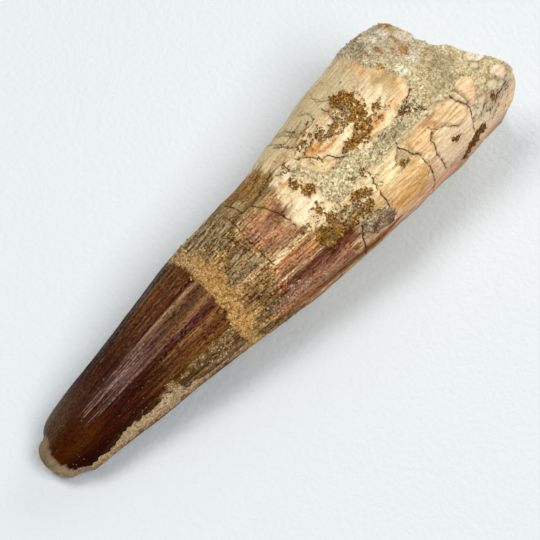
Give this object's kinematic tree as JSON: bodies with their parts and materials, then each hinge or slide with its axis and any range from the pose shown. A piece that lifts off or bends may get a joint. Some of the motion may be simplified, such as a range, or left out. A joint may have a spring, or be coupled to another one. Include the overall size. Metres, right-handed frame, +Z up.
{
  "type": "fossil spinosaurus tooth",
  "caption": "Fossil dinosaur tooth lying on its side: fluted conical enamel crown, mended neck and broken, cracked root with sandstone stuck to it.",
  "frame": {"origin": "middle of the bounding box's underside, on the surface the tooth lies on", "axes": "+X from the tip of the crown to the broken root, +Z up, +Y the fossil's left seen from the tip"},
  "size_m": [0.098, 0.0284, 0.0234],
  "materials": {
    "fossil": "glossy dark brown enamel on the crown, satin ivory and tan bone on the root, matt grey-green sandstone at the broken end",
    "sandstone": "matt, sandy",
    "iron_crust": "matt, rough rusty brown"
  },
  "bodies": {
    "root": {"tooth": "fossil"}
  },
  "joints": []
}
